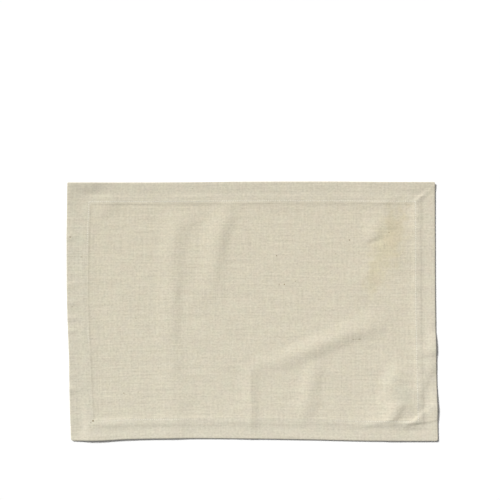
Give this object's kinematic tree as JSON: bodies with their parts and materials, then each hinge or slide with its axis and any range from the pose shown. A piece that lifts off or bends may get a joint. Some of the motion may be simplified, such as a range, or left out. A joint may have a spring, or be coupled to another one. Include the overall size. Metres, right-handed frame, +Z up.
{
  "type": "fabric placemat",
  "caption": "Rectangular heavy cotton placemat with a wide stitched hem, lying flat with soft creases and slightly curled edges.",
  "frame": {"origin": "under the middle of the mat's box, on the table that it lies on", "axes": "+X along the mat's length, +Y towards its far long edge, +Z up from the table"},
  "size_m": [0.506, 0.3534, 0.0051],
  "materials": {
    "cotton": "matte undyed plain weave with slubs"
  },
  "bodies": {
    "root": {"placemat": "cotton"}
  },
  "joints": []
}
